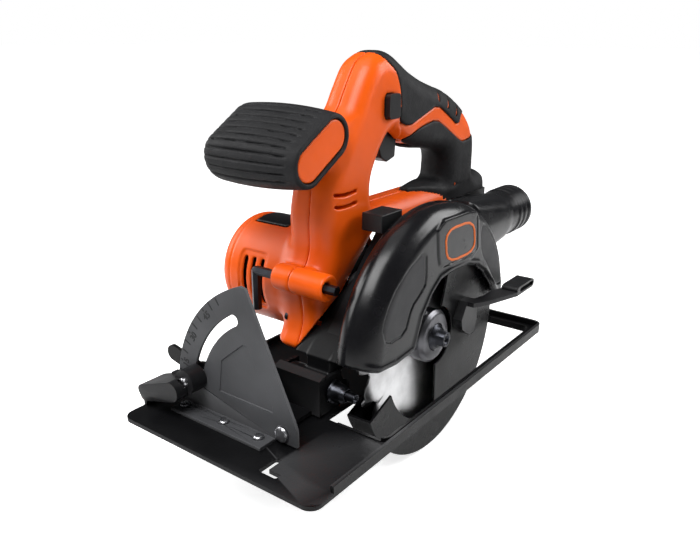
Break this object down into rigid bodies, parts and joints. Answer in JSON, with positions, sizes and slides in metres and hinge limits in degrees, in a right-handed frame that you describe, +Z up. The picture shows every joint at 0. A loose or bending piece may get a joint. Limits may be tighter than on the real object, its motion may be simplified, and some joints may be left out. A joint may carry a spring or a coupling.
{
  "type": "circular saw",
  "caption": "Compact cordless circular saw with tilting shoe, swinging lower guard, D-shaped main handle and transverse front grip.",
  "frame": {"origin": "centre of the shoe's underside", "axes": "+X is the cutting direction, +Y points from the motor to the blade side, +Z is up from the work; -Z is the sole's outward normal"},
  "size_m": [0.302, 0.1528, 0.2495],
  "materials": {
    "shoe_steel": "satin black powder coat",
    "grey_steel": "satin dark grey powder coat",
    "zinc_steel": "zinc plated",
    "black_steel": "black oxide",
    "bearing_steel": "ground",
    "flange_steel": "turned, dark",
    "blade_steel": "ground disc with a grey coated rim",
    "guard_steel": "satin black paint",
    "orange_plastic": "fine spark texture",
    "black_plastic": "satin moulded",
    "guard_plastic": "semi-gloss moulded",
    "inner_plastic": "moulded",
    "soft_grip": "soft overmould",
    "rubber": "moulded",
    "cast_alloy": "die cast",
    "ferrite": "sintered",
    "brass": "plain",
    "copper": "turned copper",
    "winding": "laminations and enamelled wire",
    "board": "solder mask"
  },
  "bodies": {
    "shoe": {"shoe_plate": "shoe_steel", "bevel_quadrant": "grey_steel", "rear_pivot_lug": "shoe_steel", "shoe_rivets": "zinc_steel", "bevel_pins": "zinc_steel"},
    "bevel_frame": {"front_bracket": "grey_steel", "rear_bracket": "shoe_steel", "depth_pivot_bolt": "black_steel", "depth_pivot_nut": "black_steel", "bevel_lock_bolt": "zinc_steel"},
    "saw_body": {"depth_lock_bolt": "zinc_steel", "housing_left": "orange_plastic", "housing_right": "orange_plastic", "handle_grip": "soft_grip", "front_handle_core": "orange_plastic", "front_grip": "soft_grip", "front_grip_cap": "orange_plastic", "upper_guard": "guard_plastic", "guard_badge": "orange_plastic", "pivot_arm": "guard_plastic", "gear_case": "cast_alloy", "gear_cover": "cast_alloy", "dust_spout": "guard_plastic", "motor_can": "zinc_steel", "motor_magnets": "ferrite", "brush_plate": "inner_plastic", "carbon_brushes": "ferrite", "motor_end_cap": "black_plastic", "switch_module": "inner_plastic", "control_board": "board", "battery_rails": "black_plastic", "battery_terminals": "brass", "label_plate": "black_plastic", "housing_screws": "black_steel", "guard_screws": "black_steel", "spindle_bearing": "bearing_steel", "layshaft_bushes": "brass", "motor_bearings": "bearing_steel", "guard_bumper": "rubber"},
    "bevel_lever": {"bevel_lever": "black_plastic"},
    "depth_lever": {"depth_lever": "black_plastic"},
    "blade": {"spindle": "bearing_steel", "final_gear": "bearing_steel", "inner_flange": "flange_steel", "outer_flange": "flange_steel", "saw_blade": "blade_steel", "blade_bolt": "black_steel"},
    "layshaft": {"layshaft": "bearing_steel", "layshaft_gear": "bearing_steel"},
    "rotor": {"motor_shaft": "bearing_steel", "armature": "winding", "commutator": "copper", "cooling_fan": "black_plastic", "motor_pinion": "bearing_steel"},
    "lower_guard": {"lower_guard": "guard_steel", "lower_guard_lever": "black_plastic"},
    "trigger": {"trigger": "black_plastic"},
    "lock_off": {"lock_off_button": "black_plastic"},
    "spindle_lock": {"spindle_lock_button": "black_plastic"},
    "hex_key": {"hex_key": "black_steel"}
  },
  "joints": [
    {"name": "bevel", "type": "hinge", "parent": "shoe", "child": "bevel_frame", "pos_m": [-0.015, 0.0235, 0.0093], "axis": [-1, 0, 0], "range_deg": [0, 45]},
    {"name": "depth", "type": "hinge", "parent": "bevel_frame", "child": "saw_body", "pos_m": [0.059, 0.006, 0.016], "axis": [0, 1, 0], "range_deg": [0, 25]},
    {"name": "bevel_clamp", "type": "hinge", "parent": "bevel_frame", "child": "bevel_lever", "pos_m": [0.11, -0.0413, 0.02426], "axis": [-1, 0, 0], "range_deg": [0, 60]},
    {"name": "depth_clamp", "type": "hinge", "parent": "saw_body", "child": "depth_lever", "pos_m": [-0.054, 0.002, 0.036], "axis": [0, 1, 0], "range_deg": [0, 60]},
    {"name": "blade_spin", "type": "hinge", "parent": "saw_body", "child": "blade", "pos_m": [-0.015, 0.038, 0.031], "axis": [0, 1, 0], "continuous": true},
    {"name": "layshaft_spin", "type": "hinge", "parent": "saw_body", "child": "layshaft", "pos_m": [0.0026, 0.018, 0.0515], "axis": [0, 1, 0], "continuous": true},
    {"name": "motor_spin", "type": "hinge", "parent": "saw_body", "child": "rotor", "pos_m": [0.0144, -0.027, 0.065], "axis": [0, 1, 0], "continuous": true},
    {"name": "guard_swing", "type": "hinge", "parent": "saw_body", "child": "lower_guard", "pos_m": [-0.015, 0.038, 0.031], "axis": [0, 1, 0], "range_deg": [0, 65], "stiffness_Nm_per_rad": 0.25, "springref_deg": -68.75},
    {"name": "trigger_pull", "type": "slide", "parent": "saw_body", "child": "trigger", "axis": [0, 0, 1], "range_m": [0, 0.0045], "stiffness_N_per_m": 900, "springref_m": -0.004},
    {"name": "lock_off_press", "type": "slide", "parent": "saw_body", "child": "lock_off", "axis": [0, -1, 0], "range_m": [0, 0.003], "stiffness_N_per_m": 700, "springref_m": -0.003},
    {"name": "spindle_lock_press", "type": "slide", "parent": "saw_body", "child": "spindle_lock", "axis": [0, 0, -1], "range_m": [0, 0.004], "stiffness_N_per_m": 900, "springref_m": -0.003},
    {"name": "hex_key_pull", "type": "slide", "parent": "saw_body", "child": "hex_key", "axis": [0, -1, 0], "range_m": [0, 0.08]}
  ],
  "couplings": [
    {"joint": "layshaft_spin", "follows": "blade_spin", "ratio": -3.5},
    {"joint": "motor_spin", "follows": "blade_spin", "ratio": 7}
  ]
}
